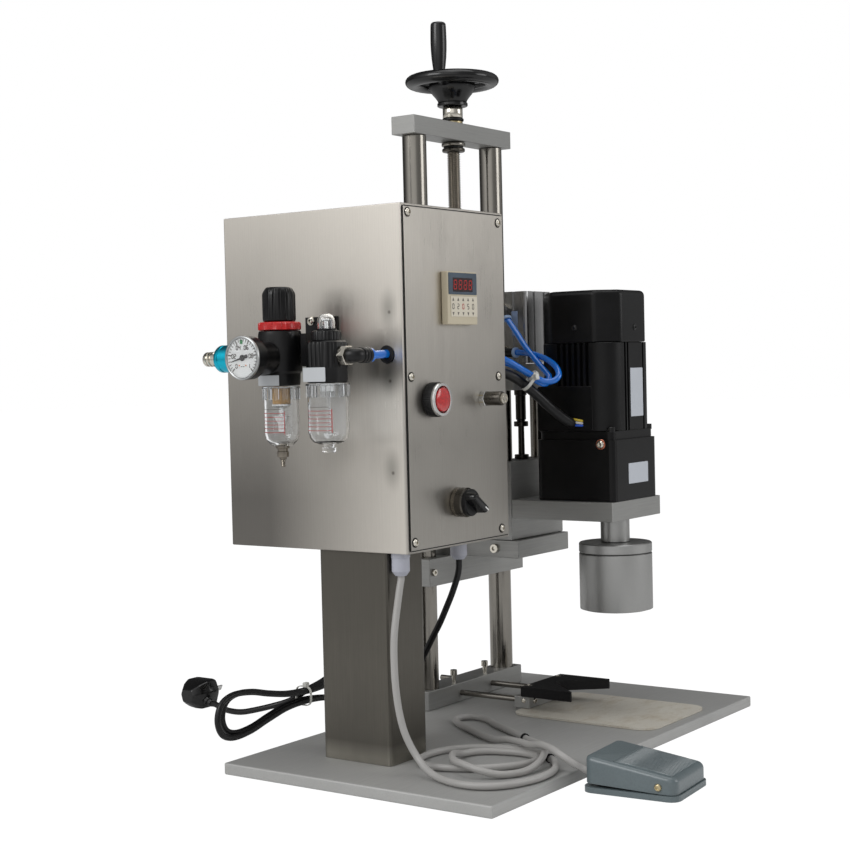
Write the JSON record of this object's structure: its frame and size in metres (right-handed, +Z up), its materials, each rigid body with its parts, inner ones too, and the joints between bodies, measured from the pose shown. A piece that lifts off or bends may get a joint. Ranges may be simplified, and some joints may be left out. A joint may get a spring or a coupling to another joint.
{
  "type": "capping machine",
  "caption": "Bench capping machine: an air cylinder lowers a motor-driven chuck onto a bottle's cap; a handwheel sets its height and a pedal starts it.",
  "frame": {"origin": "on the lead screw's axis, at the underside of the base plate", "axes": "+X to the operator's right, -Y towards the operator, +Z up"},
  "size_m": [0.5431, 0.6415, 0.7303],
  "materials": {
    "stainless_sheet": "brushed stainless sheet",
    "base_steel": "fine brushed plate",
    "milled_aluminium": "fine milled",
    "cylinder_aluminium": "anodised extrusion",
    "chuck_aluminium": "bead blasted",
    "polished_steel": "hard chromed",
    "black_plastic": "moulded, gloss",
    "motor_paint": "satin black",
    "black_resin": "machined, matte",
    "pad_rubber": "worn sheet",
    "timer_plastic": "beige moulding",
    "red_lens": "translucent moulding",
    "brass": "turned",
    "nickel": "nickel plated",
    "blue_sleeve": "blue anodised",
    "unit_plastic": "moulded",
    "red_plastic": "moulded",
    "clear_bowl": "clear moulding",
    "pedal_paint": "hammered blue-grey",
    "gland_nylon": "nylon",
    "grey_cable": "smooth sheath",
    "black_cable": "smooth sheath",
    "blue_hose": "polyurethane hose"
  },
  "bodies": {
    "frame": {"column": "stainless_sheet", "cabinet_shell": "stainless_sheet", "front_panel": "stainless_sheet", "base_plate": "base_steel", "base_block": "milled_aluminium", "top_bar": "milled_aluminium", "post_left": "polished_steel", "post_right": "polished_steel", "button_bezel": "black_plastic", "selector_bezel": "black_plastic", "solenoid_valve": "black_resin", "bottle_pad": "pad_rubber", "timer_case": "timer_plastic", "throttle_body": "brass", "outlet_elbow": "brass", "shutoff_body": "nickel", "gauge_case": "nickel", "air_bracket": "unit_plastic", "filter_regulator_body": "unit_plastic", "lubricator_body": "unit_plastic", "regulator_ring": "red_plastic", "filter_bowl": "clear_bowl", "lubricator_bowl": "clear_bowl", "pedal_base": "pedal_paint", "pedal_cable_gland": "gland_nylon", "mains_cable_gland": "gland_nylon", "pedal_cable": "grey_cable", "mains_cable": "black_cable", "mains_hank": "black_cable", "mains_tail": "black_cable", "mains_plug": "black_cable", "motor_cable": "black_cable", "air_hose_upper": "blue_hose", "air_hose_lower": "blue_hose"},
    "button": {"button_lens": "red_lens"},
    "selector": {"selector_knob": "black_plastic"},
    "throttle": {"throttle_knob": "black_resin"},
    "regulator": {"regulator_knob": "unit_plastic"},
    "gauge": {"gauge_needle": "black_resin"},
    "shutoff": {"shutoff_sleeve": "blue_sleeve"},
    "tread": {"pedal_tread": "pedal_paint"},
    "elevator": {"elevator_bar": "milled_aluminium", "elevator_plate": "milled_aluminium", "guide_rod_left": "polished_steel", "guide_rod_right": "polished_steel", "cylinder_mount": "milled_aluminium", "cylinder_body": "cylinder_aluminium"},
    "screw": {"lead_screw": "polished_steel", "handwheel": "black_plastic"},
    "grip": {"crank_grip": "black_plastic"},
    "press": {"slide_block": "milled_aluminium", "piston_rod": "polished_steel", "motor_plate": "milled_aluminium", "gearbox": "motor_paint", "motor_body": "motor_paint", "fan_cover": "motor_paint"},
    "spindle": {"spindle": "chuck_aluminium", "capping_head": "chuck_aluminium"},
    "bottle_stop": {"v_block": "black_resin", "v_carrier": "milled_aluminium"}
  },
  "joints": [
    {"name": "elevator_lift", "type": "slide", "parent": "frame", "child": "elevator", "axis": [0, 0, 1], "range_m": [0, 0.15], "deforming": ["air_hose_upper", "air_hose_lower", "motor_cable"]},
    {"name": "handwheel_turn", "type": "hinge", "parent": "frame", "child": "screw", "pos_m": [0, 0, 0.6], "axis": [0, 0, -1], "range_deg": [0, 13600]},
    {"name": "grip_spin", "type": "hinge", "parent": "screw", "child": "grip", "pos_m": [-0.03687, -0.00919, 0.6788], "axis": [0, 0, 1], "continuous": true},
    {"name": "press_slide", "type": "slide", "parent": "elevator", "child": "press", "axis": [0, 0, 1], "range_m": [0, 0.03], "deforming": ["motor_cable"]},
    {"name": "spindle_spin", "type": "hinge", "parent": "press", "child": "spindle", "pos_m": [0, -0.188, 0.15], "axis": [0, 0, 1], "continuous": true},
    {"name": "stop_slide", "type": "slide", "parent": "frame", "child": "bottle_stop", "axis": [0, -1, 0], "range_m": [-0.03, 0.06]},
    {"name": "button_press", "type": "slide", "parent": "frame", "child": "button", "axis": [0, 1, 0], "range_m": [0, 0.003], "stiffness_N_per_m": 400, "springref_m": -0.002},
    {"name": "selector_turn", "type": "hinge", "parent": "frame", "child": "selector", "pos_m": [-0.2266, -0.165, 0.2443], "axis": [0, 1, 0], "range_deg": [-45, 45]},
    {"name": "throttle_turn", "type": "hinge", "parent": "frame", "child": "throttle", "pos_m": [-0.182, -0.16, 0.338], "axis": [0, -1, 0], "range_deg": [-900, 900]},
    {"name": "regulator_turn", "type": "hinge", "parent": "frame", "child": "regulator", "pos_m": [-0.35, -0.0468, 0.43], "axis": [0, 0, 1], "range_deg": [-900, 900]},
    {"name": "gauge_sweep", "type": "hinge", "parent": "frame", "child": "gauge", "pos_m": [-0.4, -0.0468, 0.3805], "axis": [1, 0, 0], "range_deg": [0, 270], "stiffness_Nm_per_rad": 0.001},
    {"name": "shutoff_slide", "type": "slide", "parent": "frame", "child": "shutoff", "axis": [0, -1, 0], "range_m": [0, 0.006]},
    {"name": "pedal_press", "type": "hinge", "parent": "frame", "child": "tread", "pos_m": [-0.20907, -0.3589, 0.0115], "axis": [-0.9965, -0.0837, 0], "range_deg": [0, 1.6], "stiffness_Nm_per_rad": 10, "springref_deg": -1.72}
  ],
  "couplings": [
    {"joint": "handwheel_turn", "follows": "elevator_lift", "rad_per_m": 1570.8}
  ]
}
